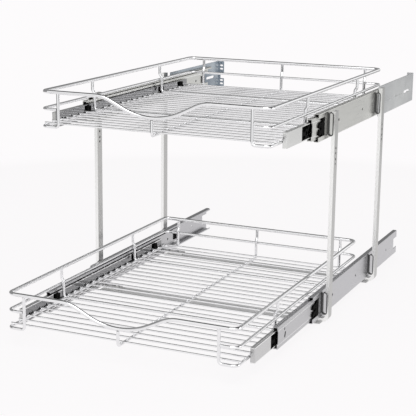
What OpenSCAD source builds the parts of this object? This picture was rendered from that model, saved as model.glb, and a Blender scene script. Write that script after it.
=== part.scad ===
// Two-tier pull-out wire basket unit for a base cabinet: a post frame on two floor strips,
// four full-extension ball-bearing slides and two welded wire baskets, stored part pulled out.
// Millimetres. The origin is the middle of the floor screw pattern, at floor level. +Z up, -Y out.

/* [Basket] */
// Centre-to-centre distance between the side rails
basket_w = 386; // [300:1:420]
// Centre-to-centre distance from the front rail to the rear rail
basket_d = 546; // [420:1:600]
// Height of the top rail above the slide centre line
rail_rise = 52.3; // [40:0.1:80]
// Depth of the basket from top rail to bottom wires
basket_h = 55.4; // [45:0.1:90]
// Drop from the top rail to the middle rail
mid_drop = 27.5; // [20:0.1:40]
// Thickness of the top rail wire
top_wire_d = 6; // [5:0.5:8]
// Thickness of the middle rail wire
mid_wire_d = 4.5; // [4:0.5:6]
// Thickness of the upright and bottom wires
hoop_wire_d = 5; // [4:0.5:6]
// Thickness of the floor wires
floor_wire_d = 3; // [2:0.5:4]
// Number of places along the floor, wires and hoops together
floor_count = 26; // [18:1:30]
// Spacing of the floor wires
floor_pitch = 21; // [15:0.5:25]
// Centre radius of the rail corners
corner_r = 11; // [8:1:40]
// Distance of the outer uprights from the middle
upright_x = 164.5; // [120:0.5:175]
// Half width of the dip in the front rail
dip_half_w = 98; // [60:1:140]
// Slope of the sides of the dip
dip_slope = 26; // [10:1:40]
// Radius where the rail turns down into the dip
dip_shoulder_r = 60; // [20:1:90]
// Radius of the bottom of the dip
dip_bottom_r = 114; // [60:1:200]

/* [Slides] */
// Length of each slide member
slide_len = 490; // [350:10:550]
// Height of the cabinet member
slide_h = 45.7; // [40:0.1:52]
// Thickness of the slide pack
slide_t = 12.7; // [12:0.1:14]
// Height of the drawer member
drawer_h = 24.5; // [20:0.1:28]
// Sheet thickness of the members
sheet_t = 1.1; // [0.8:0.1:1.6]
// Diameter of the bearing balls
ball_d = 4; // [3:0.1:4.5]
// Number of balls in each row
ball_count = 10; // [4:1:12]
// Spacing of the balls
ball_pitch = 22; // [12:1:30]
// Height of the lower slide centre line
lower_slide_z = 33; // [28:0.5:60]
// Distance between the lower and upper slide centre lines
tier_pitch = 301; // [200:1:380]
// How far the slides start in front of the posts
overhang = 42; // [0:1:60]

/* [Pulled out, as stored] */
// Upper intermediate member out of the cabinet member
upper_mid_out = 24; // [0:1:245]
// Upper basket out of its closed place
upper_out = 125.5; // [0:0.5:490]
// Lower intermediate member out of the cabinet member
lower_mid_out = 150; // [0:1:245]
// Lower basket out of its closed place
lower_out = 235.5; // [0:0.5:490]

/* [Frame] */
// Distance across the outer faces of the posts
frame_w = 442; // [380:1:480]
// Front-to-rear distance between the posts
post_pitch = 260; // [200:1:360]
// Depth of a post, front to back
post_d = 16; // [12:1:25]
// Thickness of a post
post_t = 6; // [4:0.5:8]
// Height of the frame
frame_h = 356; // [300:1:440]
// How much higher the rear posts stand
rear_post_rise = 6; // [0:1:20]
// Outer radius of the bend at the foot
foot_bend_r = 11; // [7:1:16]
// Reach of the foot, measured from the outer face
foot_reach = 46; // [35:1:70]
// Length of the floor strips
strip_len = 418; // [360:1:440]
// Width of the floor strips
strip_d = 32; // [25:1:40]
// Thickness of the floor strips
strip_t = 2; // [1.5:0.5:4]
// Diameter of the floor screw holes
floor_hole_d = 5; // [4:0.5:7]

/* [Hidden] */
$fn = 48;

// Clearances
seat_gap = 0.1;
weld_gap = 0.2;
ball_gap = 0.2;
strip_gap = 0.4;
screw_gap = 0.15;
bend_swell = 0.04;
bend_lap = 0.3;

// Colours
chrome_c = [0.86, 0.87, 0.88];
zinc_c = [0.72, 0.73, 0.75];
steel_c = [0.55, 0.56, 0.58];
black_c = [0.05, 0.05, 0.05];

// Frame, derived
post_front_y = -(post_pitch + post_d) / 2;
cabinet_y = post_front_y - overhang;
post_inner_x = frame_w / 2 - post_t;
foot_z = strip_t;
foot_inner_r = foot_bend_r - post_t;
foot_screw_in = 9;
standoff_t = 1.5;
standoff_h = 39;
standoff_let = 3.1;
standoff_d = 5.5;
standoff_rise = 0.8;
screw_d = 4;
screw_head_d = 6.4;
screw_head_h = 1.6;
spare_hole_d = 4;
spare_hole_drop = [38.4, 46.7, 56.9, 64.6];

// Slides, derived. p runs from the cabinet member's back face towards the basket, q up from the centre
web_x = (basket_w + hoop_wire_d) / 2 + strip_gap + slide_t;
mid_x = web_x - slide_t;
standoff_w = post_inner_x + standoff_let - seat_gap - web_x;
standoff_x = web_x + seat_gap + standoff_w / 2;
ball_r = ball_d / 2;
race_r = ball_r + ball_gap;
hook_r = race_r + sheet_t;
sheet_r = 1.8;
outer_ball_p = 6.4;
outer_ball_q = slide_h / 2 - hook_r;
mid_web_p = 2.7;
mid_end_p = 11.2;
mid_flange_in = 16.25;
mid_flange_out = 17.9;
mid_lip_q = 14.4;
mid_lip_t = 0.9;
inner_ball_p = 8;
inner_ball_q = mid_flange_in - race_r;
drawer_flange_p = 5.7;
retainer_t = 0.6;
outer_ret_p = sheet_t + strip_gap;
outer_ret_end = 8.3;
mid_step = 0.6;
mid_step_q = 11.5;
inner_ret_p = mid_web_p + mid_step + sheet_t + strip_gap;
inner_ret_end = 10;
retainer_len = ball_count * ball_pitch;
retainer_setback = 152;
bracket_setback = post_d + post_pitch + seat_gap;
bracket_len = 233;
bracket_h = 54;
bracket_rise = 1.5;
bracket_t = 1.5;
bracket_flange = 12.5;
bracket_line_z = -2;
bracket_slot_y = 187;
bracket_slot_run = 39;
bracket_hole_y = 112;
bracket_crease_y = 35;
bracket_crease_len = 120;
bracket_slot_p = 5.5;
bracket_slot_w = 3.6;
bracket_slot_len = 7;
bracket_rows = [19, 12];
bracket_notch_p = 3;
bracket_notch_q = -8;
bracket_notch_h = 12;
web_notch = 21;
web_notch_h = 20;
web_hole_d = 4.6;
web_cut = 27;
web_cut_h = 30;
nose_len = 63.5;
nose_r = 1.4;
lever_setback = 64;

// Basket, derived
mid_rail_out = 1.2;
hoop_bend_r = 5.5;
kink_in = (mid_wire_d + hoop_wire_d) / 2 + weld_gap - mid_rail_out;
bottom_corner_r = min(8, basket_w / 2 - upright_x - hoop_bend_r);
kink_rise = 10.5;
kink_top = mid_drop - kink_rise;
kink_r = 5;
kink_drop = 6;
rear_bend_r = 5;
floor_end_in = 0.3;
floor_z = (hoop_wire_d + floor_wire_d) / 2 + weld_gap;
cross_z = hoop_wire_d + weld_gap;
floor_first = floor_pitch / 2;
floor_half = (basket_w + hoop_wire_d) / 2 - floor_end_in;
hoop_places = [7, 19];
basket_lead = 43.5;
dip_vertex_x = dip_half_w - dip_shoulder_r * tan(dip_slope / 2);
dip_vertex_z = dip_vertex_x * tan(dip_slope);
dip_depth = dip_vertex_z - dip_bottom_r * (1 / cos(dip_slope) - 1);
clip_len = 11;
clip_t = 3.2;
clip_h = 9.5;
clip_rise = 3.5;
clip_after = [6, 19, 23];
clip_space = 3;

function tier_z(t) = lower_slide_z + t * tier_pitch;
function mid_out(t) = t == 1 ? upper_mid_out : lower_mid_out;
function basket_out(t) = t == 1 ? upper_out : lower_out;
function mid_y(t) = cabinet_y - mid_out(t);
function drawer_y(t) = cabinet_y - basket_out(t);
function outer_ret_y(t) = cabinet_y + retainer_setback - mid_out(t) / 2;
function inner_ret_y(t) = mid_y(t) + retainer_setback - (basket_out(t) - mid_out(t)) / 2;
function basket_y(t) = drawer_y(t) - basket_lead;
function rail_z(t) = tier_z(t) + rail_rise;

function unit(v) = v / norm(v);
function turn(a, b, c) = acos(unit(b - a) * unit(c - b));
function setback(a, b, c, r) = r * tan(turn(a, b, c) / 2) - bend_lap;

// ---------- wire forming ----------
// One straight length of round wire
module straight(a, b, d) {
    w = unit(b - a);
    e = unit(cross(abs(w[2]) < 0.9 ? [0, 0, 1] : [1, 0, 0], w));
    f = cross(w, e);
    multmatrix([
        [e[0], f[0], w[0], a[0]],
        [e[1], f[1], w[1], a[1]],
        [e[2], f[2], w[2], a[2]],
        [0, 0, 0, 1]
    ])
        cylinder(h = norm(b - a), d = d);
}

// One bend of round wire, at the corner b of the line a b c
module bend(a, b, c, r, d) {
    u = unit(b - a);
    v = unit(c - b);
    g = turn(a, b, c);
    n = unit(v - u * (u * v));
    m = cross(u, n);
    o = b - u * r * tan(g / 2) + n * r;
    multmatrix([
        [-n[0], u[0], m[0], o[0]],
        [-n[1], u[1], m[1], o[1]],
        [-n[2], u[2], m[2], o[2]],
        [0, 0, 0, 1]
    ])
        rotate_extrude(angle = g)
            translate([r, 0])
                circle(d = d);
}

// Wire bent along the points p, with the centre radii r at its corners. The bends are drawn
// a hair thicker than the straights, as a bending roll leaves them, and lap over their ends
module wire(p, r, d) {
    n = len(p);
    cut = [for (i = [0:n - 1]) i == 0 || i == n - 1 ? 0 : setback(p[i - 1], p[i], p[i + 1], r[i])];
    for (i = [0:n - 2])
        straight(p[i] + unit(p[i + 1] - p[i]) * cut[i], p[i + 1] - unit(p[i + 1] - p[i]) * cut[i + 1], d);
    for (i = [1:n - 2])
        bend(p[i - 1], p[i], p[i + 1], r[i], d + bend_swell);
}

// The same, closed into a ring
module ring(p, r, d) {
    n = len(p);
    cut = [for (i = [0:n - 1]) setback(p[(i + n - 1) % n], p[i], p[(i + 1) % n], r[i])];
    for (i = [0:n - 1]) {
        j = (i + 1) % n;
        straight(p[i] + unit(p[j] - p[i]) * cut[i], p[j] - unit(p[j] - p[i]) * cut[j], d);
        bend(p[(i + n - 1) % n], p[i], p[j], r[i], d + bend_swell);
    }
}

// Sweeps a drawing in X and Z back along +Y from y
module sweep_y(y, len) {
    translate([0, y + len, 0])
        rotate([90, 0, 0])
            linear_extrude(len)
                children();
}

// Puts p, q drawings in place on one side, -1 left and 1 right, of a tier
module on_slide(t, side) {
    translate([side * web_x, 0, tier_z(t)])
        mirror([side > 0 ? 1 : 0, 0, 0])
            children();
}

// Part of a ring between two angles
module arc_band(outer, inner, from, to) {
    difference() {
        circle(r = outer);
        circle(r = inner);
        rotate(from)
            translate([-2 * outer, -4 * outer])
                square([4 * outer, 4 * outer]);
        rotate(to)
            translate([-2 * outer, 0])
                square([4 * outer, 4 * outer]);
    }
}

// A rectangle with round ends, long in Y
module obround(w, h) {
    square([w, h - w], center = true);
    for (s = [-1, 1])
        translate([0, s * (h - w) / 2])
            circle(d = w);
}

// ---------- frame ----------
module post(side, y, h) {
    pocket = standoff_w + 2 * weld_gap;
    color(zinc_c)
        difference() {
            sweep_y(y, post_d)
                post_profile(side, h);
            for (t = [0, 1])
                sweep_y(y - 1, standoff_d + 1 + weld_gap)
                    translate([side * standoff_x, tier_z(t) + standoff_rise])
                        obround(pocket, standoff_h + 2 * weld_gap);
            for (drop = spare_hole_drop)
                translate([side * (frame_w / 2 + 1), y + post_d / 2, tier_z(1) - drop])
                    rotate([0, -side * 90, 0])
                        cylinder(h = post_t + 2, d = spare_hole_d);
            translate([side * foot_screw_x(), y + post_d / 2, foot_z - 1])
                cylinder(h = post_t + 2, d = screw_d + 2 * screw_gap);
        }
}

function foot_screw_x() = frame_w / 2 - foot_reach + foot_screw_in;

module post_profile(side, h) {
    mirror([side > 0 ? 0 : 1, 0, 0])
        difference() {
            translate([frame_w / 2 - foot_reach, foot_z])
                square([foot_reach, h - foot_z]);
            translate([frame_w / 2 - foot_reach - 1, foot_z + foot_bend_r])
                square([foot_reach - post_t + 1, h]);
            translate([frame_w / 2 - foot_reach - 1, foot_z + post_t])
                square([foot_reach + 1 - foot_bend_r, h]);
            difference() {
                translate([frame_w / 2 - foot_bend_r - 1, foot_z - 1])
                    square([foot_bend_r + 2, foot_bend_r + 1]);
                translate([frame_w / 2 - foot_bend_r, foot_z + foot_bend_r])
                    circle(r = foot_bend_r);
                translate([frame_w / 2 - foot_bend_r - 2, foot_z - 2])
                    square([2, foot_bend_r + 3]);
            }
            translate([frame_w / 2 - foot_bend_r, foot_z + foot_bend_r])
                circle(r = foot_inner_r);
        }
}

module floor_strip(y) {
    color(zinc_c)
        difference() {
            translate([-strip_len / 2, y - strip_d / 2, 0])
                cube([strip_len, strip_d, strip_t]);
            translate([0, y, -1])
                cylinder(h = strip_t + 2, d = floor_hole_d);
            for (s = [-1, 1])
                translate([s * foot_screw_x(), y, -1])
                    cylinder(h = strip_t + 2, d = screw_d + 2 * screw_gap);
        }
}

module frame_screws() {
    color(steel_c)
        for (side = [-1, 1])
            for (y = [post_front_y + post_d / 2, post_front_y + post_d / 2 + post_pitch])
                translate([side * foot_screw_x(), y, foot_z + post_t + seat_gap])
                    screw(foot_z + post_t);
}

// A pan-head screw with its head seat at z = 0 and its shank going down
module screw(len) {
    difference() {
        union() {
            cylinder(h = screw_head_h, d = screw_head_d);
            translate([0, 0, -len])
                cylinder(h = len, d = screw_d);
        }
        for (a = [0, 90])
            rotate(a)
                translate([-2, -0.45, screw_head_h - 0.9])
                    cube([4, 0.9, 2]);
    }
}

// Bent strip loops, welded on, that hold the slides off the posts. Each is let into the front
// edge of its post
module slide_standoffs() {
    color(steel_c)
        for (t = [0, 1])
            for (side = [-1, 1])
                for (y = [post_front_y, post_front_y + post_pitch])
                    sweep_y(y, standoff_d)
                        translate([side * standoff_x, tier_z(t) + standoff_rise])
                            difference() {
                                obround(standoff_w, standoff_h);
                                obround(standoff_w - 2 * standoff_t, standoff_h - 2 * standoff_t);
                            }
}

// ---------- slide members ----------
module cabinet_profile() {
    c = slide_h / 2 - sheet_r;
    translate([0, -c])
        square([sheet_t, 2 * c]);
    for (s = [0, 1])
        mirror([0, s]) {
            translate([sheet_r, c])
                arc_band(sheet_r, sheet_r - sheet_t, 90, 180);
            translate([sheet_r - 0.01, slide_h / 2 - sheet_t])
                square([outer_ball_p - sheet_r + 0.02, sheet_t]);
            translate([outer_ball_p, outer_ball_q])
                arc_band(hook_r, race_r, -6, 90);
        }
}

module cabinet_member(t, side) {
    y = cabinet_y;
    color(zinc_c)
        on_slide(t, side)
            difference() {
                sweep_y(y, slide_len)
                    cabinet_profile();
                translate([-1, y - 1, -web_cut_h / 2])
                    cube([sheet_t + 2, web_cut + 1, web_cut_h]);
                translate([-1, y + slide_len - web_notch, -web_notch_h / 2])
                    cube([sheet_t + 2, web_notch + 1, web_notch_h]);
                for (py = [98, 226, 354, 418])
                    translate([-1, y + py, 0])
                        rotate([0, 90, 0])
                            cylinder(h = sheet_t + 2, d = web_hole_d);
            }
}

// Black plug in the cut-back web at the front: an upright bar with two catch claws, and an arm at
// each end whose round peg closes the ball race
module front_bumper(t, side) {
    y = cabinet_y;
    h = web_cut_h / 2 - seat_gap;
    back = web_cut - seat_gap;
    peg_y = 5;
    color(black_c)
        on_slide(t, side) {
            translate([seat_gap, 0, 0])
                rotate([90, 0, 90])
                    linear_extrude(mid_web_p - seat_gap - strip_gap)
                        translate([y, 0])
                            difference() {
                                polygon([
                                    [back, h], [17.4, h], [17.4, 9.5], [12, 7.5], [7, 8.5],
                                    [1.5, 5.5], [0.5, 1], [4, -0.5], [9, 2.5], [12, 1],
                                    [12, -2.5], [8, -4], [4, -4], [1, -8], [2, -12.5],
                                    [8, -11], [14, -9.5], [16, -h], [back, -h]
                                ]);
                                translate([11.5, 4.6])
                                    circle(d = 2.6);
                            }
            for (s = [-1, 1]) {
                translate([sheet_t + seat_gap, y + web_cut - 6, s > 0 ? h - 2 : -outer_ball_q - 1])
                    cube([mid_web_p - sheet_t - seat_gap - strip_gap, 5, outer_ball_q + 3 - h]);
                translate([sheet_t + seat_gap, y + web_cut - 6, s * outer_ball_q - 1])
                    cube([outer_ball_p - sheet_t - seat_gap, 5, 2]);
                translate([outer_ball_p, y + peg_y, s * outer_ball_q])
                    rotate([-90, 0, 0])
                        cylinder(h = web_cut - peg_y, r = ball_r + seat_gap);
            }
        }
}

module mid_profile() {
    translate([mid_web_p, -mid_step_q])
        square([sheet_t, 2 * mid_step_q]);
    for (s = [0, 1])
        mirror([0, s]) {
            translate([mid_web_p + mid_step, mid_step_q - sheet_t])
                square([sheet_t, mid_flange_out - mid_step_q + sheet_t]);
            difference() {
                translate([mid_web_p + mid_step, mid_flange_in])
                    square([mid_end_p - mid_web_p - mid_step, mid_flange_out - mid_flange_in]);
                translate([outer_ball_p, outer_ball_q])
                    circle(r = race_r);
            }
            translate([mid_end_p - mid_lip_t, mid_lip_q])
                square([mid_lip_t, mid_flange_out - mid_lip_q]);
        }
}

module intermediate(t, side) {
    y = mid_y(t);
    color(zinc_c)
        on_slide(t, side)
            difference() {
                sweep_y(y, slide_len)
                    mid_profile();
                translate([mid_web_p - 1, y + 28, 7.5])
                    rotate([0, 90, 0])
                        linear_extrude(sheet_t + 2)
                            rotate(90)
                                obround(3, 4.5);
                translate([mid_web_p - 1, y + 30, -2.5])
                    rotate([0, 90, 0])
                        linear_extrude(sheet_t + 2)
                            rotate(70)
                                obround(4.5, 10);
                for (py = [250, slide_len - 40])
                    translate([mid_web_p - 1, y + py, 0])
                        rotate([0, 90, 0])
                            cylinder(h = sheet_t + 2, d = web_hole_d);
            }
}

// Black end pieces of the intermediate member: pegs that close the inner ball races at the
// front, a pad behind the slots of the web, and a block at the rear that the drawer member
// stops against
module runner_stops(t, side) {
    y = mid_y(t);
    p = mid_web_p + sheet_t + seat_gap;
    color(black_c)
        on_slide(t, side) {
            for (s = [-1, 1])
                translate([inner_ball_p, y - 0.6, s * inner_ball_q])
                    rotate([-90, 0, 0])
                        cylinder(h = 9, r = ball_r + seat_gap);
            translate([p, y + 20, -9])
                cube([inner_ret_p - 2 * ball_gap + seat_gap - p, 21, 18.5]);
            difference() {
                translate([p, y + slide_len - 14, -7])
                    cube([drawer_flange_p - strip_gap - p, 14, 14]);
                translate([p - 1, y + slide_len - 7, 0])
                    rotate([0, 90, 0])
                        cylinder(h = 4, d = 4);
            }
        }
}

module drawer_profile() {
    translate([slide_t - sheet_t, -drawer_h / 2])
        square([sheet_t, drawer_h]);
    for (s = [0, 1])
        mirror([0, s])
            difference() {
                translate([drawer_flange_p, drawer_h / 2 - 1.5])
                    square([slide_t - drawer_flange_p, 1.5]);
                translate([inner_ball_p, inner_ball_q])
                    circle(r = race_r);
            }
}

// The hollow of the drawer member is closed at the front by a nose folded round from its web
module drawer_member(t, side) {
    y = drawer_y(t);
    h = drawer_h / 2 - 0.9;
    color(chrome_c)
        on_slide(t, side)
            difference() {
                union() {
                    sweep_y(y, slide_len)
                        drawer_profile();
                    translate([0, 0, -h])
                        linear_extrude(2 * h) {
                            translate([drawer_flange_p, y + nose_r])
                                square([sheet_t, nose_len - nose_r]);
                            translate([drawer_flange_p + nose_r, y])
                                square([slide_t - drawer_flange_p - nose_r, sheet_t]);
                            translate([drawer_flange_p + nose_r, y + nose_r])
                                arc_band(nose_r, nose_r - sheet_t, 180, 270);
                        }
                }
                for (py = [20, 250, 480])
                    translate([slide_t - sheet_t - 1, y + py, 0])
                        rotate([0, 90, 0])
                            cylinder(h = sheet_t + 2, d = web_hole_d);
            }
}

// Black release lever in the hollow of the drawer member: a foot, a ring and two tails
module lever(t, side) {
    top = drawer_h / 2 - 1.5 - strip_gap;
    color(black_c)
        on_slide(t, side)
            translate([drawer_flange_p + 0.3, drawer_y(t) + lever_setback, 0])
                rotate([90, 0, 90])
                    linear_extrude(slide_t - sheet_t - drawer_flange_p - 0.3 - seat_gap)
                        difference() {
                            union() {
                                translate([0, -9.5])
                                    square([5, 18.5]);
                                translate([21, -1.5])
                                    circle(r = 6.2);
                                polygon([[4, 1.5], [16, 1.5], [16, -4], [4, -4.5]]);
                                polygon([[17, -6], [12, -top], [34, -top], [34, -8], [23, -7.4]]);
                                polygon([[24, 3.5], [27, 0], [35, 6], [35, top], [32, top]]);
                            }
                            translate([21, -1.5])
                                circle(d = 7.6);
                            translate([2.5, 4])
                                circle(d = 2.4);
                        }
}

// ---------- ball trains ----------
module outer_cage(t, side) {
    y = outer_ret_y(t);
    h = outer_ball_q + retainer_t / 2;
    color(steel_c)
        on_slide(t, side)
            difference() {
                sweep_y(y, retainer_len)
                    difference() {
                        translate([outer_ret_p, -h])
                            square([outer_ret_end - outer_ret_p, 2 * h]);
                        translate([outer_ret_p + retainer_t, -h + retainer_t])
                            square([outer_ret_end, 2 * (h - retainer_t)]);
                    }
                for (i = [0:ball_count - 1])
                    translate([outer_ball_p, y + (i + 0.5) * ball_pitch, -slide_h / 2])
                        cylinder(h = slide_h, r = ball_r + 0.15);
            }
    balls(t, side, y, outer_ball_p, outer_ball_q);
}

module inner_retainer(t, side) {
    y = inner_ret_y(t);
    h = inner_ball_q + retainer_t / 2;
    color(steel_c)
        on_slide(t, side)
            difference() {
                sweep_y(y, retainer_len)
                    difference() {
                        translate([inner_ret_p, -h])
                            square([inner_ret_end - inner_ret_p, 2 * h]);
                        translate([inner_ret_p + retainer_t, -h + retainer_t])
                            square([inner_ret_end, 2 * (h - retainer_t)]);
                    }
                for (i = [0:ball_count - 1])
                    translate([inner_ball_p, y + (i + 0.5) * ball_pitch, -slide_h / 2])
                        cylinder(h = slide_h, r = ball_r + 0.15);
            }
}

module balls(t, side, y, p, q) {
    color(chrome_c)
        on_slide(t, side)
            for (i = [0:ball_count - 1])
                for (s = [-1, 1])
                    translate([p, y + (i + 0.5) * ball_pitch, s * q])
                        sphere(r = ball_r);
}

// ---------- basket ----------
// Basket drawings: x = 0 in the middle, y = 0 at the front rail, z = 0 at the top rail
module in_basket(t) {
    translate([0, basket_y(t), rail_z(t)])
        children();
}

module top_rail(t) {
    w = basket_w / 2;
    d = basket_d;
    p = [
        [w, d, 0], [w, 0, 0], [dip_vertex_x, 0, 0], [0, 0, -dip_vertex_z],
        [-dip_vertex_x, 0, 0], [-w, 0, 0], [-w, d, 0]
    ];
    r = [corner_r, corner_r, dip_shoulder_r, dip_bottom_r, dip_shoulder_r, corner_r, corner_r];
    color(chrome_c)
        in_basket(t)
            ring(p, r, top_wire_d);
}

module mid_rail(t) {
    w = basket_w / 2 + mid_rail_out;
    d = basket_d + mid_rail_out;
    x = upright_x + hoop_wire_d / 2 + seat_gap;
    p = [
        [x, 0, -mid_drop], [w, 0, -mid_drop], [w, d, -mid_drop],
        [-w, d, -mid_drop], [-w, 0, -mid_drop], [-x, 0, -mid_drop]
    ];
    color(chrome_c)
        in_basket(t)
            wire(p, [0, corner_r, corner_r, corner_r, corner_r, 0], mid_wire_d);
}

function floor_y(i) = floor_first + i * floor_pitch;
function is_hoop(i) = i == hoop_places[0] || i == hoop_places[1];
function place_wire_d(i) = is_hoop(i) ? hoop_wire_d : floor_wire_d;

function upright_top() = -top_wire_d / 2 - seat_gap;

module corner_hoops(t) {
    w = basket_w / 2;
    d = basket_d;
    color(chrome_c)
        in_basket(t)
            for (s = [-1, 1]) {
                x = s * upright_x;
                p = [
                    [x, 0, upright_top()], [x, 0, -basket_h], [s * w, 0, -basket_h],
                    [s * w, d - kink_in, -basket_h], [x, d - kink_in, -basket_h],
                    [x, d - kink_in, -kink_top - kink_drop], [x, d, -kink_top],
                    [x, d, upright_top()]
                ];
                wire(p, [0, hoop_bend_r, bottom_corner_r, bottom_corner_r, hoop_bend_r, kink_r, kink_r, 0], hoop_wire_d);
            }
}

module centre_hoop(t) {
    d = basket_d;
    p = [
        [0, 0, upright_top() - dip_depth], [0, 0, -basket_h], [0, d - kink_in, -basket_h],
        [0, d - kink_in, -kink_top - kink_drop], [0, d, -kink_top], [0, d, upright_top()]
    ];
    color(chrome_c)
        in_basket(t)
            wire(p, [0, hoop_bend_r, rear_bend_r, kink_r, kink_r, 0], hoop_wire_d);
}

module side_hoops(t) {
    w = basket_w / 2;
    z = cross_z - basket_h;
    color(chrome_c)
        in_basket(t)
            for (i = hoop_places) {
                y = floor_y(i);
                p = [
                    [w, y, upright_top()], [w, y, -kink_top], [w - kink_in, y, -kink_top - kink_drop],
                    [w - kink_in, y, z], [-w + kink_in, y, z],
                    [-w + kink_in, y, -kink_top - kink_drop], [-w, y, -kink_top], [-w, y, upright_top()]
                ];
                wire(p, [0, kink_r, kink_r, hoop_bend_r, hoop_bend_r, kink_r, kink_r, 0], hoop_wire_d);
            }
}

module floor_wires(t) {
    color(chrome_c)
        in_basket(t)
            for (i = [0:floor_count - 1])
                if (!is_hoop(i) && floor_y(i) < basket_d - hoop_wire_d)
                    translate([-floor_half, floor_y(i), floor_z - basket_h])
                        rotate([0, 90, 0])
                            cylinder(h = 2 * floor_half, d = floor_wire_d);
}

// Black clips on the drawer members, between the ends of the floor wires
module clips(t) {
    w = mid_x - seat_gap;
    color(black_c)
        in_basket(t)
            for (s = [-1, 1])
                for (i = clip_after) {
                    y = floor_y(i) + place_wire_d(i) / 2 + clip_space;
                    difference() {
                        translate([s > 0 ? w - clip_t : -w, y, clip_rise - basket_h])
                            cube([clip_t, clip_len, clip_h]);
                        translate([s > 0 ? w - clip_t - 1 : -w + 1.4, y + 4, clip_rise + 3 - basket_h])
                            cube([clip_t - 0.4, 3, 3.5]);
                    }
                }
}

// ---------- bracket at the rear of the upper slides ----------
module rear_bracket(side) {
    y = post_front_y + bracket_setback;
    color(zinc_c)
        on_slide(1, side)
            difference() {
                union() {
                    translate([-bracket_t - seat_gap, y, bracket_rise - bracket_h / 2])
                        cube([bracket_t, bracket_len, bracket_h]);
                    translate([-bracket_t - seat_gap, y + bracket_len - bracket_t, bracket_rise - bracket_h / 2])
                        cube([bracket_flange, bracket_t, bracket_h]);
                }
                translate([-bracket_t - 1, y + bracket_slot_y, bracket_line_z])
                    rotate([90, 0, 90])
                        linear_extrude(bracket_t + 2)
                            rotate(90)
                                obround(5.5, bracket_slot_run);
                translate([-bracket_t - 1, y + bracket_hole_y, bracket_line_z])
                    rotate([0, 90, 0])
                        cylinder(h = bracket_t + 2, d = screw_d);
                translate([-bracket_t - seat_gap - 1, y + bracket_crease_y, bracket_line_z - 0.7])
                    cube([1.5, bracket_crease_len, 1.4]);
                translate([bracket_notch_p, y + bracket_len - bracket_t - 1, bracket_notch_q])
                    cube([bracket_flange, bracket_t + 2, bracket_notch_h]);
                for (q = bracket_rows)
                    for (s = [-1, 1])
                        translate([bracket_slot_p, y + bracket_len + 1, s * q])
                            rotate([90, 0, 0])
                                linear_extrude(bracket_t + 2)
                                    rotate(90)
                                        obround(bracket_slot_w, bracket_slot_len);
            }
}

module front_left_post() { post(-1, post_front_y, frame_h); }
module front_right_post() { post(1, post_front_y, frame_h); }
module rear_left_post() { post(-1, post_front_y + post_pitch, frame_h + rear_post_rise); }
module rear_right_post() { post(1, post_front_y + post_pitch, frame_h + rear_post_rise); }
module front_floor_strip() { floor_strip(-post_pitch / 2); }
module rear_floor_strip() { floor_strip(post_pitch / 2); }
module upper_left_rear_bracket() { rear_bracket(-1); }
module upper_right_rear_bracket() { rear_bracket(1); }
module upper_left_cabinet_member() { cabinet_member(1, -1); }
module upper_right_cabinet_member() { cabinet_member(1, 1); }
module lower_left_cabinet_member() { cabinet_member(0, -1); }
module lower_right_cabinet_member() { cabinet_member(0, 1); }
module upper_left_front_bumper() { front_bumper(1, -1); }
module upper_right_front_bumper() { front_bumper(1, 1); }
module lower_left_front_bumper() { front_bumper(0, -1); }
module lower_right_front_bumper() { front_bumper(0, 1); }
module upper_left_outer_cage() { outer_cage(1, -1); }
module upper_right_outer_cage() { outer_cage(1, 1); }
module lower_left_outer_cage() { outer_cage(0, -1); }
module lower_right_outer_cage() { outer_cage(0, 1); }
module upper_left_runner_stops() { runner_stops(1, -1); }
module upper_right_runner_stops() { runner_stops(1, 1); }
module lower_left_runner_stops() { runner_stops(0, -1); }
module lower_right_runner_stops() { runner_stops(0, 1); }
module upper_left_intermediate() { intermediate(1, -1); }
module upper_right_intermediate() { intermediate(1, 1); }
module lower_left_intermediate() { intermediate(0, -1); }
module lower_right_intermediate() { intermediate(0, 1); }
module upper_left_lever() { lever(1, -1); }
module upper_right_lever() { lever(1, 1); }
module lower_left_lever() { lever(0, -1); }
module lower_right_lever() { lever(0, 1); }
module upper_left_inner_retainer() { inner_retainer(1, -1); }
module upper_right_inner_retainer() { inner_retainer(1, 1); }
module lower_left_inner_retainer() { inner_retainer(0, -1); }
module lower_right_inner_retainer() { inner_retainer(0, 1); }
module upper_left_inner_balls() { balls(1, -1, inner_ret_y(1), inner_ball_p, inner_ball_q); }
module upper_right_inner_balls() { balls(1, 1, inner_ret_y(1), inner_ball_p, inner_ball_q); }
module lower_left_inner_balls() { balls(0, -1, inner_ret_y(0), inner_ball_p, inner_ball_q); }
module lower_right_inner_balls() { balls(0, 1, inner_ret_y(0), inner_ball_p, inner_ball_q); }
module upper_left_drawer_member() { drawer_member(1, -1); }
module upper_right_drawer_member() { drawer_member(1, 1); }
module lower_left_drawer_member() { drawer_member(0, -1); }
module lower_right_drawer_member() { drawer_member(0, 1); }
module upper_top_rail() { top_rail(1); }
module lower_top_rail() { top_rail(0); }
module upper_mid_rail() { mid_rail(1); }
module lower_mid_rail() { mid_rail(0); }
module upper_corner_hoops() { corner_hoops(1); }
module lower_corner_hoops() { corner_hoops(0); }
module upper_centre_hoop() { centre_hoop(1); }
module lower_centre_hoop() { centre_hoop(0); }
module upper_side_hoops() { side_hoops(1); }
module lower_side_hoops() { side_hoops(0); }
module upper_floor_wires() { floor_wires(1); }
module lower_floor_wires() { floor_wires(0); }
module upper_clips() { clips(1); }
module lower_clips() { clips(0); }

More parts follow.
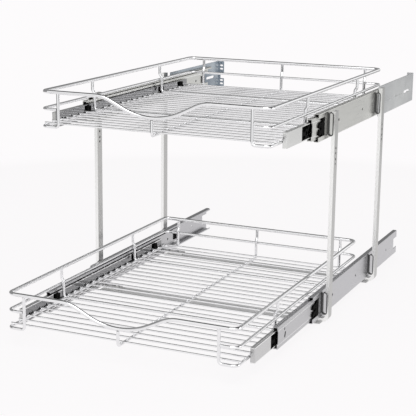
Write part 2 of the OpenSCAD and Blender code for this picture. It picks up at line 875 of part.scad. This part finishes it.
front_left_post();
front_right_post();
rear_left_post();
rear_right_post();
front_floor_strip();
rear_floor_strip();
frame_screws();
slide_standoffs();
upper_left_rear_bracket();
upper_right_rear_bracket();
upper_left_cabinet_member();
upper_right_cabinet_member();
lower_left_cabinet_member();
lower_right_cabinet_member();
upper_left_front_bumper();
upper_right_front_bumper();
lower_left_front_bumper();
lower_right_front_bumper();
upper_left_outer_cage();
upper_right_outer_cage();
lower_left_outer_cage();
lower_right_outer_cage();
upper_left_intermediate();
upper_right_intermediate();
lower_left_intermediate();
lower_right_intermediate();
upper_left_runner_stops();
upper_right_runner_stops();
lower_left_runner_stops();
lower_right_runner_stops();
upper_left_lever();
upper_right_lever();
lower_left_lever();
lower_right_lever();
upper_left_inner_retainer();
upper_right_inner_retainer();
lower_left_inner_retainer();
lower_right_inner_retainer();
upper_left_inner_balls();
upper_right_inner_balls();
lower_left_inner_balls();
lower_right_inner_balls();
upper_left_drawer_member();
upper_right_drawer_member();
lower_left_drawer_member();
lower_right_drawer_member();
upper_top_rail();
lower_top_rail();
upper_mid_rail();
lower_mid_rail();
upper_corner_hoops();
lower_corner_hoops();
upper_centre_hoop();
lower_centre_hoop();
upper_side_hoops();
lower_side_hoops();
upper_floor_wires();
lower_floor_wires();
upper_clips();
lower_clips();
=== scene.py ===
"""Looks for the two-tier pull-out basket unit: bright chrome wire, zinc-plated slides and black clips.

Lengths are metres in the part's own frame: X across, -Y out of the cabinet, Z up from the floor.
"""

import math

import bmesh
import bpy
from mathutils import Matrix, Vector


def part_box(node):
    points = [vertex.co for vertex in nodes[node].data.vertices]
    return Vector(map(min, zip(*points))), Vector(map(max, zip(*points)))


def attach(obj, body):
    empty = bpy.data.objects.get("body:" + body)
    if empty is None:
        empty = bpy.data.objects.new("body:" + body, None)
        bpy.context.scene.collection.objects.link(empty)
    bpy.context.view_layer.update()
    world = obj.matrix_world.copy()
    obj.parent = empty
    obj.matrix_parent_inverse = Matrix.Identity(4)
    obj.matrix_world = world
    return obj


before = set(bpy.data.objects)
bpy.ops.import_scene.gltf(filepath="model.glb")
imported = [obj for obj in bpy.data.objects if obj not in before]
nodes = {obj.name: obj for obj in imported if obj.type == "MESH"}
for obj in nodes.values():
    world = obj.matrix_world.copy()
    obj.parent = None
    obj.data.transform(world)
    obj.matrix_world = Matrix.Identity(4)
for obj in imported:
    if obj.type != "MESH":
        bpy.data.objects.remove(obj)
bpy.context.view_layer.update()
scene = bpy.context.scene

# ---------------------------------------------------------------- camera
# turned to the left, tipped down and rolled; the focal length is in pixels of a square image
YAW = math.radians(24.40)
PITCH = math.radians(13.46)
ROLL = math.radians(0.65)
FOCAL_PX = 1198.2
IMAGE_PX = 416
SENSOR_MM = 36.0
EYE = Vector((0.8195, -1.9457, 0.6488))
CLIP_START = 0.05
CLIP_END = 30.0


def make_camera():
    """The photograph's view: an eye point, then yaw, pitch and roll."""
    forward = Vector((
        -math.sin(YAW) * math.cos(PITCH),
        math.cos(YAW) * math.cos(PITCH),
        -math.sin(PITCH),
    ))
    level = Vector((math.cos(YAW), math.sin(YAW), 0.0))
    up = level.cross(forward)
    right = level * math.cos(ROLL) + up * math.sin(ROLL)
    up = up * math.cos(ROLL) - level * math.sin(ROLL)
    data = bpy.data.cameras.new("camera")
    data.sensor_width = SENSOR_MM
    data.lens = FOCAL_PX * SENSOR_MM / IMAGE_PX
    data.clip_start = CLIP_START
    data.clip_end = CLIP_END
    camera = bpy.data.objects.new("camera", data)
    scene.collection.objects.link(camera)
    turn = Matrix((right, up, -forward)).transposed().to_4x4()
    camera.matrix_world = Matrix.Translation(EYE) @ turn
    scene.camera = camera


make_camera()

# ---------------------------------------------------------------- shader node helpers
EVEN = (1, 1, 1)
# the values between which noise mostly stays
NOISE_LOW = 0.3
NOISE_HIGH = 0.7


def grey(level):
    return (level, level, level)


def new_material(name):
    """An empty node tree with one Principled shader, and that shader."""
    material = bpy.data.materials.new(name)
    material.use_nodes = True
    tree = material.node_tree
    tree.nodes.clear()
    output = tree.nodes.new("ShaderNodeOutputMaterial")
    shader = tree.nodes.new("ShaderNodeBsdfPrincipled")
    tree.links.new(shader.outputs["BSDF"], output.inputs["Surface"])
    return material, tree, shader


def noise(tree, scale, detail=3.0, stretch=EVEN):
    """Noise in object space, scale in cycles a metre."""
    where = tree.nodes.new("ShaderNodeTexCoord")
    mapping = tree.nodes.new("ShaderNodeMapping")
    mapping.inputs["Scale"].default_value = stretch
    texture = tree.nodes.new("ShaderNodeTexNoise")
    texture.inputs["Scale"].default_value = scale
    texture.inputs["Detail"].default_value = detail
    tree.links.new(where.outputs["Object"], mapping.inputs["Vector"])
    tree.links.new(mapping.outputs["Vector"], texture.inputs["Vector"])
    return texture.outputs["Fac"]


def math_node(tree, operation, first, second):
    """A Math node; each side is a number or another node's output."""
    node = tree.nodes.new("ShaderNodeMath")
    node.operation = operation
    for socket, value in zip(node.inputs, (first, second)):
        if isinstance(value, (int, float)):
            socket.default_value = value
        else:
            tree.links.new(value, socket)
    return node.outputs["Value"]


def ramp(tree, value, low, high):
    """Spreads a noise value over low..high."""
    node = tree.nodes.new("ShaderNodeMapRange")
    node.inputs["From Min"].default_value = NOISE_LOW
    node.inputs["From Max"].default_value = NOISE_HIGH
    node.inputs["To Min"].default_value = low
    node.inputs["To Max"].default_value = high
    tree.links.new(value, node.inputs["Value"])
    return node.outputs["Result"]


def smooth_range(tree, value, start, end):
    """0 at start, 1 at end, smooth between them; start may be the higher of the two."""
    node = tree.nodes.new("ShaderNodeMapRange")
    node.interpolation_type = "SMOOTHSTEP"
    node.inputs["From Min"].default_value = start
    node.inputs["From Max"].default_value = end
    tree.links.new(value, node.inputs["Value"])
    return node.outputs["Result"]


def tint(tree, value, dark, light):
    """A colour between dark and light, by a value."""
    node = tree.nodes.new("ShaderNodeMix")
    node.data_type = "RGBA"
    node.inputs["A"].default_value = (*dark, 1)
    node.inputs["B"].default_value = (*light, 1)
    tree.links.new(value, node.inputs["Factor"])
    return node.outputs["Result"]


def overlay(tree, under, factor, colour):
    """One colour laid over another where factor is 1."""
    node = tree.nodes.new("ShaderNodeMix")
    node.data_type = "RGBA"
    node.inputs["B"].default_value = (*colour, 1)
    tree.links.new(factor, node.inputs["Factor"])
    tree.links.new(under, node.inputs["A"])
    return node.outputs["Result"]


def bump(tree, value, shader, strength, depth):
    """Height detail on a shader: value is the height, depth its reach in metres."""
    node = tree.nodes.new("ShaderNodeBump")
    node.inputs["Strength"].default_value = strength
    node.inputs["Distance"].default_value = depth
    tree.links.new(value, node.inputs["Height"])
    tree.links.new(node.outputs["Normal"], shader.inputs["Normal"])


def coordinate(tree, kind, axis):
    """One axis of a point's place (kind Object, in metres) or of its face's direction (kind Normal)."""
    where = tree.nodes.new("ShaderNodeTexCoord")
    split = tree.nodes.new("ShaderNodeSeparateXYZ")
    tree.links.new(where.outputs[kind], split.inputs["Vector"])
    return split.outputs[axis]


def distance(tree, value, middle):
    """How far a value is from the middle one."""
    return math_node(tree, "ABSOLUTE", math_node(tree, "SUBTRACT", value, middle), 0.0)


# ---------------------------------------------------------------- material recipes
CHROME_DARK = (0.78, 0.78, 0.79)
CHROME_LIGHT = (0.88, 0.88, 0.89)
PLASTIC_DARK = grey(0.002)
PLASTIC_LIGHT = grey(0.005)
PLASTIC_SPECULAR = 0.06
GRAIN_DEPTH = 0.0001
PLASTIC_DEPTH = 0.0002

# the stretch of noise on strip that was rolled along Y, and of the clouds on a passivated plate
ROLL_GRAIN = (6, 0.4, 6)
PLATE_CLOUDS = (1, 1, 1.6)
# the shares by which zinc strays from its written colour and roughness, and passivated plate
# from its written roughness
ZINC_STRAY = 0.04
ROUGH_STRAY = 0.1
PASSIVATED_STRAY = 0.2

# height of a ridge above and below the slide's centre line, and half its width; a light line is painted
# along each ridge as a highlight
RIDGE_RISE = 0.0115
RIDGE_HALF = 0.0011
RIDGE_PAINTED_HIGHLIGHT = grey(0.95)
# faces nearer the middle plane than this are inner webs, given a painted shade; the share of roughness
# that they lose
INNER_WEB = 0.1962
INSIDE_POLISH = 0.55
# how much a face looks to the side: where it starts to count as broad, and where it is fully so; broad
# faces get a painted shade
BROAD_FROM = 0.3
BROAD_FULL = 0.7
# how open a piece is at the edge of its holes and deep in them, looking round as far as the reach; the
# holes get a painted shade by it
HOLE_REACH = 0.004
HOLE_EDGE = 0.7
HOLE_DEEP = 0.3
HOLE_SAMPLES = 8
HOLE_PAINTED_SHADE = grey(0.05)


def chrome(name, sharp, dull):
    """Bright chrome plate over drawn wire, faintly cloudy: roughness from sharp to dull."""
    material, tree, shader = new_material(name)
    cloud = noise(tree, scale=90.0)
    shader.inputs["Metallic"].default_value = 1.0
    tree.links.new(tint(tree, cloud, CHROME_DARK, CHROME_LIGHT), shader.inputs["Base Color"])
    tree.links.new(ramp(tree, cloud, sharp, dull), shader.inputs["Roughness"])
    bump(tree, noise(tree, scale=900.0), shader, strength=0.04, depth=GRAIN_DEPTH)
    return material


def in_holes(tree):
    """1 deep in the holes of a piece, 0 on its open faces; it marks where shade is painted into the holes.
    """
    node = tree.nodes.new("ShaderNodeAmbientOcclusion")
    node.only_local = True
    node.samples = HOLE_SAMPLES
    node.inputs["Distance"].default_value = HOLE_REACH
    return smooth_range(tree, node.outputs["AO"], HOLE_EDGE, HOLE_DEEP)


def zinc(name, colour, rough, grain=EVEN, metallic=1.0, inside=None, ridges=None, broad=None):
    """Zinc plate on steel, cloudy in colour and roughness.

    inside is a painted shade laid on the inner webs, which face the basket; these are also sharper.
    ridges is the height midway between two rolled ridges, along which light lines are painted as
    highlights.
    broad is a painted shade on the faces to left and right; edges keep the plain colour, and the holes get
    a painted shade too.
    """
    material, tree, shader = new_material(name)
    shader.inputs["Metallic"].default_value = metallic
    cloud = noise(tree, scale=40.0, detail=4.0, stretch=grain)
    dark = [(1 - ZINC_STRAY) * channel for channel in colour]
    light = [min((1 + ZINC_STRAY) * channel, 1.0) for channel in colour]
    shade = tint(tree, cloud, dark, light)
    roughness = ramp(tree, cloud, (1 - ROUGH_STRAY) * rough, (1 + ROUGH_STRAY) * rough)
    # painted shade: the inner webs, facing the basket, are darkened, and also made sharper
    if inside:
        off_middle = distance(tree, coordinate(tree, "Object", "X"), 0.0)
        within = math_node(tree, "LESS_THAN", off_middle, INNER_WEB)
        shade = overlay(tree, shade, within, inside)
        polish = math_node(tree, "MULTIPLY", within, INSIDE_POLISH)
        roughness = math_node(tree, "MULTIPLY", roughness, math_node(tree, "SUBTRACT", 1.0, polish))
    if broad:
        # painted shade: faces that look to the left or right are darkened
        sideways = distance(tree, coordinate(tree, "Normal", "X"), 0.0)
        shade = overlay(tree, shade, smooth_range(tree, sideways, BROAD_FROM, BROAD_FULL), broad)
        # painted shade darkening the holes of the piece
        shade = overlay(tree, shade, in_holes(tree), HOLE_PAINTED_SHADE)
    # painted highlight: a light line along each rolled ridge
    if ridges:
        off_centre = distance(tree, coordinate(tree, "Object", "Z"), ridges)
        off_ridge = distance(tree, off_centre, RIDGE_RISE)
        shade = overlay(tree, shade, smooth_range(tree, off_ridge, RIDGE_HALF, 0.0), RIDGE_PAINTED_HIGHLIGHT)
    tree.links.new(shade, shader.inputs["Base Color"])
    tree.links.new(roughness, shader.inputs["Roughness"])
    rolled = noise(tree, scale=500.0, detail=2.0, stretch=grain)
    bump(tree, rolled, shader, strength=0.03, depth=GRAIN_DEPTH)
    return material


def passivated(name, dark, light, rough):
    """Passivated zinc plate with large soft clouds, from a dark shade to a pale one."""
    material, tree, shader = new_material(name)
    shader.inputs["Metallic"].default_value = 1.0
    clouds = ramp(tree, noise(tree, scale=9.0, detail=1.0, stretch=PLATE_CLOUDS), 0.0, 1.0)
    tree.links.new(tint(tree, clouds, dark, light), shader.inputs["Base Color"])
    sharp = (1 - PASSIVATED_STRAY) * rough
    dull = (1 + PASSIVATED_STRAY) * rough
    tree.links.new(ramp(tree, noise(tree, scale=60.0), sharp, dull), shader.inputs["Roughness"])
    bump(tree, noise(tree, scale=500.0, detail=2.0), shader, strength=0.03, depth=GRAIN_DEPTH)
    return material


def plastic(name, sharp, dull):
    """Black moulded plastic with a fine spark-eroded skin: roughness from sharp to dull."""
    material, tree, shader = new_material(name)
    grain = noise(tree, scale=1500.0)
    shader.inputs["Specular IOR Level"].default_value = PLASTIC_SPECULAR
    tree.links.new(tint(tree, grain, PLASTIC_DARK, PLASTIC_LIGHT), shader.inputs["Base Color"])
    tree.links.new(ramp(tree, grain, sharp, dull), shader.inputs["Roughness"])
    bump(tree, grain, shader, strength=0.15, depth=PLASTIC_DEPTH)
    return material


# ---------------------------------------------------------------- materials of the nodes
WARM_ZINC = (0.66, 0.66, 0.635)


def slide_height(tier):
    """Height of a tier's slide centre line."""
    low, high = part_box(f"{tier}_right_intermediate")
    return (low[2] + high[2]) / 2


chrome_plate = chrome("chrome_plate", sharp=0.05, dull=0.12)
hoop_chrome = chrome("hoop_chrome", sharp=0.20, dull=0.28)
black_plastic = plastic("black_plastic", sharp=0.65, dull=0.85)
ball_steel = zinc("ball_steel", (0.80, 0.80, 0.81), rough=0.08)
screw_zinc = zinc("screw_zinc", grey(0.62), rough=0.25)
dark_steel = zinc("dark_steel", grey(0.10), rough=0.4)
retainer_steel = zinc("retainer_steel", (0.52, 0.52, 0.53), rough=0.3, grain=ROLL_GRAIN)
# the posts: bright front faces, with a painted shade on their side faces and in their holes
post_zinc = zinc("post_zinc", (0.92, 0.92, 0.91), rough=0.34, broad=(0.50, 0.50, 0.49))
strip_zinc = zinc("strip_zinc", grey(0.62), rough=0.5, grain=ROLL_GRAIN, metallic=0.2)
left_bracket_steel = passivated("left_bracket_steel", (0.26, 0.30, 0.35), (0.64, 0.69, 0.73), rough=0.30)
right_bracket_steel = passivated("right_bracket_steel", (0.58, 0.59, 0.60), (0.68, 0.69, 0.69), rough=0.34)
slide_zinc = zinc("slide_zinc", WARM_ZINC, rough=0.30, grain=ROLL_GRAIN)
lower_slide_zinc = zinc("lower_slide_zinc", (0.50, 0.50, 0.515), rough=0.30, grain=ROLL_GRAIN)
# the runners and the lower drawer members get painted highlight lines along their ridges
upper_runner_zinc = zinc(
    "upper_runner_zinc", WARM_ZINC, rough=0.30, grain=ROLL_GRAIN, ridges=slide_height("upper"))
lower_runner_zinc = zinc(
    "lower_runner_zinc", (0.50, 0.50, 0.51), rough=0.30, grain=ROLL_GRAIN, ridges=slide_height("lower"))
# the drawer members' inner webs get a painted shade
drawer_zinc = zinc(
    "drawer_zinc", (0.75, 0.75, 0.74), rough=0.20, grain=ROLL_GRAIN, inside=(0.27, 0.27, 0.275))
lower_drawer_zinc = zinc(
    "lower_drawer_zinc", grey(0.56), rough=0.24, grain=ROLL_GRAIN, inside=(0.24, 0.24, 0.245),
    ridges=slide_height("lower"))

# how a node's name starts, how it ends, and its material
FINISHES = (
    ("", ("top_rail", "mid_rail", "corner_hoops", "centre_hoop", "floor_wires"), chrome_plate),
    ("", ("side_hoops",), hoop_chrome),
    ("", ("bumper", "lever", "clips", "stops"), black_plastic),
    ("", ("balls", "outer_cage"), ball_steel),
    ("", ("retainer",), retainer_steel),
    ("", ("frame_screws",), screw_zinc),
    ("", ("standoffs",), dark_steel),
    ("", ("post",), post_zinc),
    ("", ("strip",), strip_zinc),
    ("", ("left_rear_bracket",), left_bracket_steel),
    ("", ("right_rear_bracket",), right_bracket_steel),
    ("upper", ("cabinet_member",), slide_zinc),
    ("lower", ("cabinet_member",), lower_slide_zinc),
    ("upper", ("intermediate",), upper_runner_zinc),
    ("lower", ("intermediate",), lower_runner_zinc),
    ("upper", ("drawer_member",), drawer_zinc),
    ("lower", ("drawer_member",), lower_drawer_zinc),
)


def finish_node(name):
    """Gives a node the material that fits its name."""
    material = next(
        material for start, endings, material in FINISHES
        if name.startswith(start) and name.endswith(endings))
    mesh = nodes[name].data
    mesh.materials.clear()
    mesh.materials.append(material)


for node_name in nodes:
    finish_node(node_name)

# ---------------------------------------------------------------- weld beads
# places in the row of floor wires from the front, and those that the side hoops take
PLACES = 26
HOOP_PLACES = (7, 19)
HOOP_RADIUS = 0.0025
# how far from the middle plane the uprights of the corner hoops stand
UPRIGHT_X = 0.1645
BEAD_RADIUS = 0.0019
# a bead's shape against a ball's: a little longer along Y, and flatter
BEAD_SQUEEZE = (1.0, 1.15, 0.75)
# beads differ in size by this share, in a rhythm that does not repeat along a row
BEAD_UNEVEN = 0.12
BEAD_RHYTHM = 2.4


def crossings(tier):
    """Where the wires of a basket are welded together: points on the floor, then under the top rail."""
    low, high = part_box(f"{tier}_floor_wires")
    radius = (high[2] - low[2]) / 2
    first = low[1] + radius
    pitch = (high[1] - low[1] - 2 * radius) / (PLACES - 1)
    hoop_low, hoop_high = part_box(f"{tier}_corner_hoops")
    side = hoop_high[0] - HOOP_RADIUS
    front = hoop_low[1] + HOOP_RADIUS
    rear = hoop_high[1] - HOOP_RADIUS
    for place_number in range(PLACES):
        if place_number not in HOOP_PLACES:
            for x in (-side, 0.0, side):
                yield x, first + place_number * pitch, low[2]
    for x in (-UPRIGHT_X, UPRIGHT_X):
        for y in (front, rear):
            yield x, y, hoop_high[2]
    for place_number in HOOP_PLACES:
        for x in (-side, side):
            yield x, first + place_number * pitch, hoop_high[2]
    yield 0.0, rear, hoop_high[2]


def weld_beads(tier):
    """Small plated beads where the wires were resistance welded, a little uneven in size."""
    shape = bmesh.new()
    squeeze = Matrix.Diagonal(BEAD_SQUEEZE).to_4x4()
    for number, point in enumerate(crossings(tier)):
        size = BEAD_RADIUS * (1.0 + BEAD_UNEVEN * math.sin(BEAD_RHYTHM * number))
        place = Matrix.Translation(point) @ squeeze
        bmesh.ops.create_icosphere(shape, subdivisions=2, radius=size, matrix=place)
    mesh = bpy.data.meshes.new(f"{tier}_weld_beads")
    shape.to_mesh(mesh)
    shape.free()
    for face in mesh.polygons:
        face.use_smooth = True
    mesh.materials.append(chrome_plate)
    beads = bpy.data.objects.new(f"{tier}_weld_beads", mesh)
    scene.collection.objects.link(beads)
    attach(beads, f"{tier}_basket")


for tier_name in ("upper", "lower"):
    weld_beads(tier_name)

# ---------------------------------------------------------------- floor
BACKGROUND = (0.98, 0.965, 0.973)
FLOOR_RADIUS = 1.5
FLOOR_SEGMENTS = 96
FLOOR_DARK = grey(0.91)
FLOOR_LIGHT = grey(0.93)
FLOOR_ROUGH = 0.9
# the share of background in what is seen of the floor: near the object, growing to 1 further out
FLOOR_WHITE = 0.90
FADE_START = 0.55
FADE_END = 0.9 * FLOOR_RADIUS


def seen_rays(tree):
    """Two values: 1 for rays straight from the camera, and 1 for rays by way of a mirror or glass."""
    path = tree.nodes.new("ShaderNodeLightPath")
    glossy = path.outputs["Is Glossy Ray"]
    clear = path.outputs["Is Transmission Ray"]
    return path.outputs["Is Camera Ray"], math_node(tree, "MAXIMUM", glossy, clear)


def floor_whiteness(tree):
    """The share of background by the distance from the middle, 0 for rays that only carry light."""
    where = tree.nodes.new("ShaderNodeTexCoord")
    length = tree.nodes.new("ShaderNodeVectorMath")
    length.operation = "LENGTH"
    tree.links.new(where.outputs["Object"], length.inputs[0])
    faded = smooth_range(tree, length.outputs["Value"], FADE_START, FADE_END)
    faded = math_node(tree, "MAXIMUM", faded, FLOOR_WHITE)
    straight, mirrored = seen_rays(tree)
    return math_node(tree, "MULTIPLY", faded, math_node(tree, "MAXIMUM", straight, mirrored))


def floor_material():
    material, tree, shader = new_material("pale_floor")
    shader.inputs["Roughness"].default_value = FLOOR_ROUGH
    shader.inputs["Specular IOR Level"].default_value = 0.0
    colour = tint(tree, noise(tree, scale=3.0), FLOOR_DARK, FLOOR_LIGHT)
    tree.links.new(colour, shader.inputs["Base Color"])
    white = tree.nodes.new("ShaderNodeEmission")
    white.inputs["Color"].default_value = (*BACKGROUND, 1)
    mix = tree.nodes.new("ShaderNodeMixShader")
    tree.links.new(floor_whiteness(tree), mix.inputs["Fac"])
    tree.links.new(shader.outputs["BSDF"], mix.inputs[1])
    tree.links.new(white.outputs["Emission"], mix.inputs[2])
    output = next(node for node in tree.nodes if node.type == "OUTPUT_MATERIAL")
    tree.links.new(mix.outputs["Shader"], output.inputs["Surface"])
    return material


def make_floor():
    """A pale round floor that keeps the shadow and runs out into the white background."""
    mesh = bpy.data.meshes.new("floor")
    shape = bmesh.new()
    bmesh.ops.create_circle(shape, cap_ends=True, radius=FLOOR_RADIUS, segments=FLOOR_SEGMENTS)
    shape.to_mesh(mesh)
    shape.free()
    floor = bpy.data.objects.new("floor", mesh)
    scene.collection.objects.link(floor)
    mesh.materials.append(floor_material())


make_floor()

# ---------------------------------------------------------------- world and lamps
SOFT_LIGHT = grey(0.62)
STUDIO_GREY = 0.30
# direction, degrees off it up to which a card is full and at which it ends, brightness added:
# in front of the unit, low at its right, a dark one overhead, and a small one behind
STUDIO_CARDS = (
    ((0.3, -1.0, 0.45), 45, 65, 0.75),
    ((0.9, 0.6, -0.25), 25, 50, 0.65),
    ((0.0, 0.3, 0.95), 22, 48, -0.26),
    ((0.278, 0.945, 0.173), 5, 13, 0.70),
)
LAMP_AIM = Vector((0, 0, 0.2))


def card(tree, direction, towards, full, end, level):
    """A soft-edged studio card in the sky: level up to full degrees off a direction, 0 past end."""
    aim = tree.nodes.new("ShaderNodeVectorMath")
    aim.operation = "DOT_PRODUCT"
    aim.inputs[1].default_value = Vector(towards).normalized()
    tree.links.new(direction, aim.inputs[0])
    edge = math.cos(math.radians(end))
    core = math.cos(math.radians(full))
    return math_node(tree, "MULTIPLY", smooth_range(tree, aim.outputs["Value"], edge, core), level)


def background(tree, colour):
    """A Background shader of a colour, or of another node's output."""
    node = tree.nodes.new("ShaderNodeBackground")
    if isinstance(colour, tuple):
        node.inputs["Color"].default_value = (*colour, 1)
    else:
        tree.links.new(colour, node.inputs["Color"])
    return node.outputs["Background"]


def choose(tree, factor, first, second):
    """The first shader where factor is 0, the second where it is 1."""
    mix = tree.nodes.new("ShaderNodeMixShader")
    tree.links.new(factor, mix.inputs["Fac"])
    tree.links.new(first, mix.inputs[1])
    tree.links.new(second, mix.inputs[2])
    return mix.outputs["Shader"]


def make_world():
    """White to the camera, even for soft light, and a studio with bright and dark cards for metal."""
    world = bpy.data.worlds.new("studio")
    scene.world = world
    world.use_nodes = True
    tree = world.node_tree
    tree.nodes.clear()
    output = tree.nodes.new("ShaderNodeOutputWorld")
    direction = tree.nodes.new("ShaderNodeTexCoord").outputs["Generated"]
    studio = STUDIO_GREY
    for towards, full, end, level in STUDIO_CARDS:
        studio = math_node(tree, "ADD", studio, card(tree, direction, towards, full, end, level))
    straight, mirrored = seen_rays(tree)
    lit = choose(tree, mirrored, background(tree, SOFT_LIGHT), background(tree, studio))
    sky = choose(tree, straight, lit, background(tree, BACKGROUND))
    tree.links.new(sky, output.inputs["Surface"])


def make_lamp(name, place, side, watts):
    """A square area lamp, aimed at the object."""
    data = bpy.data.lights.new(name, "AREA")
    data.shape = "RECTANGLE"
    data.size = side
    data.size_y = side
    data.energy = watts
    lamp = bpy.data.objects.new(name, data)
    scene.collection.objects.link(lamp)
    lamp.location = place
    lamp.rotation_euler = (LAMP_AIM - Vector(place)).to_track_quat("-Z", "Y").to_euler()


make_world()
make_lamp("overhead", place=(0.3, -1.5, 2.4), side=2.0, watts=26)
make_lamp("side", place=(2.4, 0.6, 1.0), side=1.2, watts=8)

scene.view_settings.view_transform = "Standard"
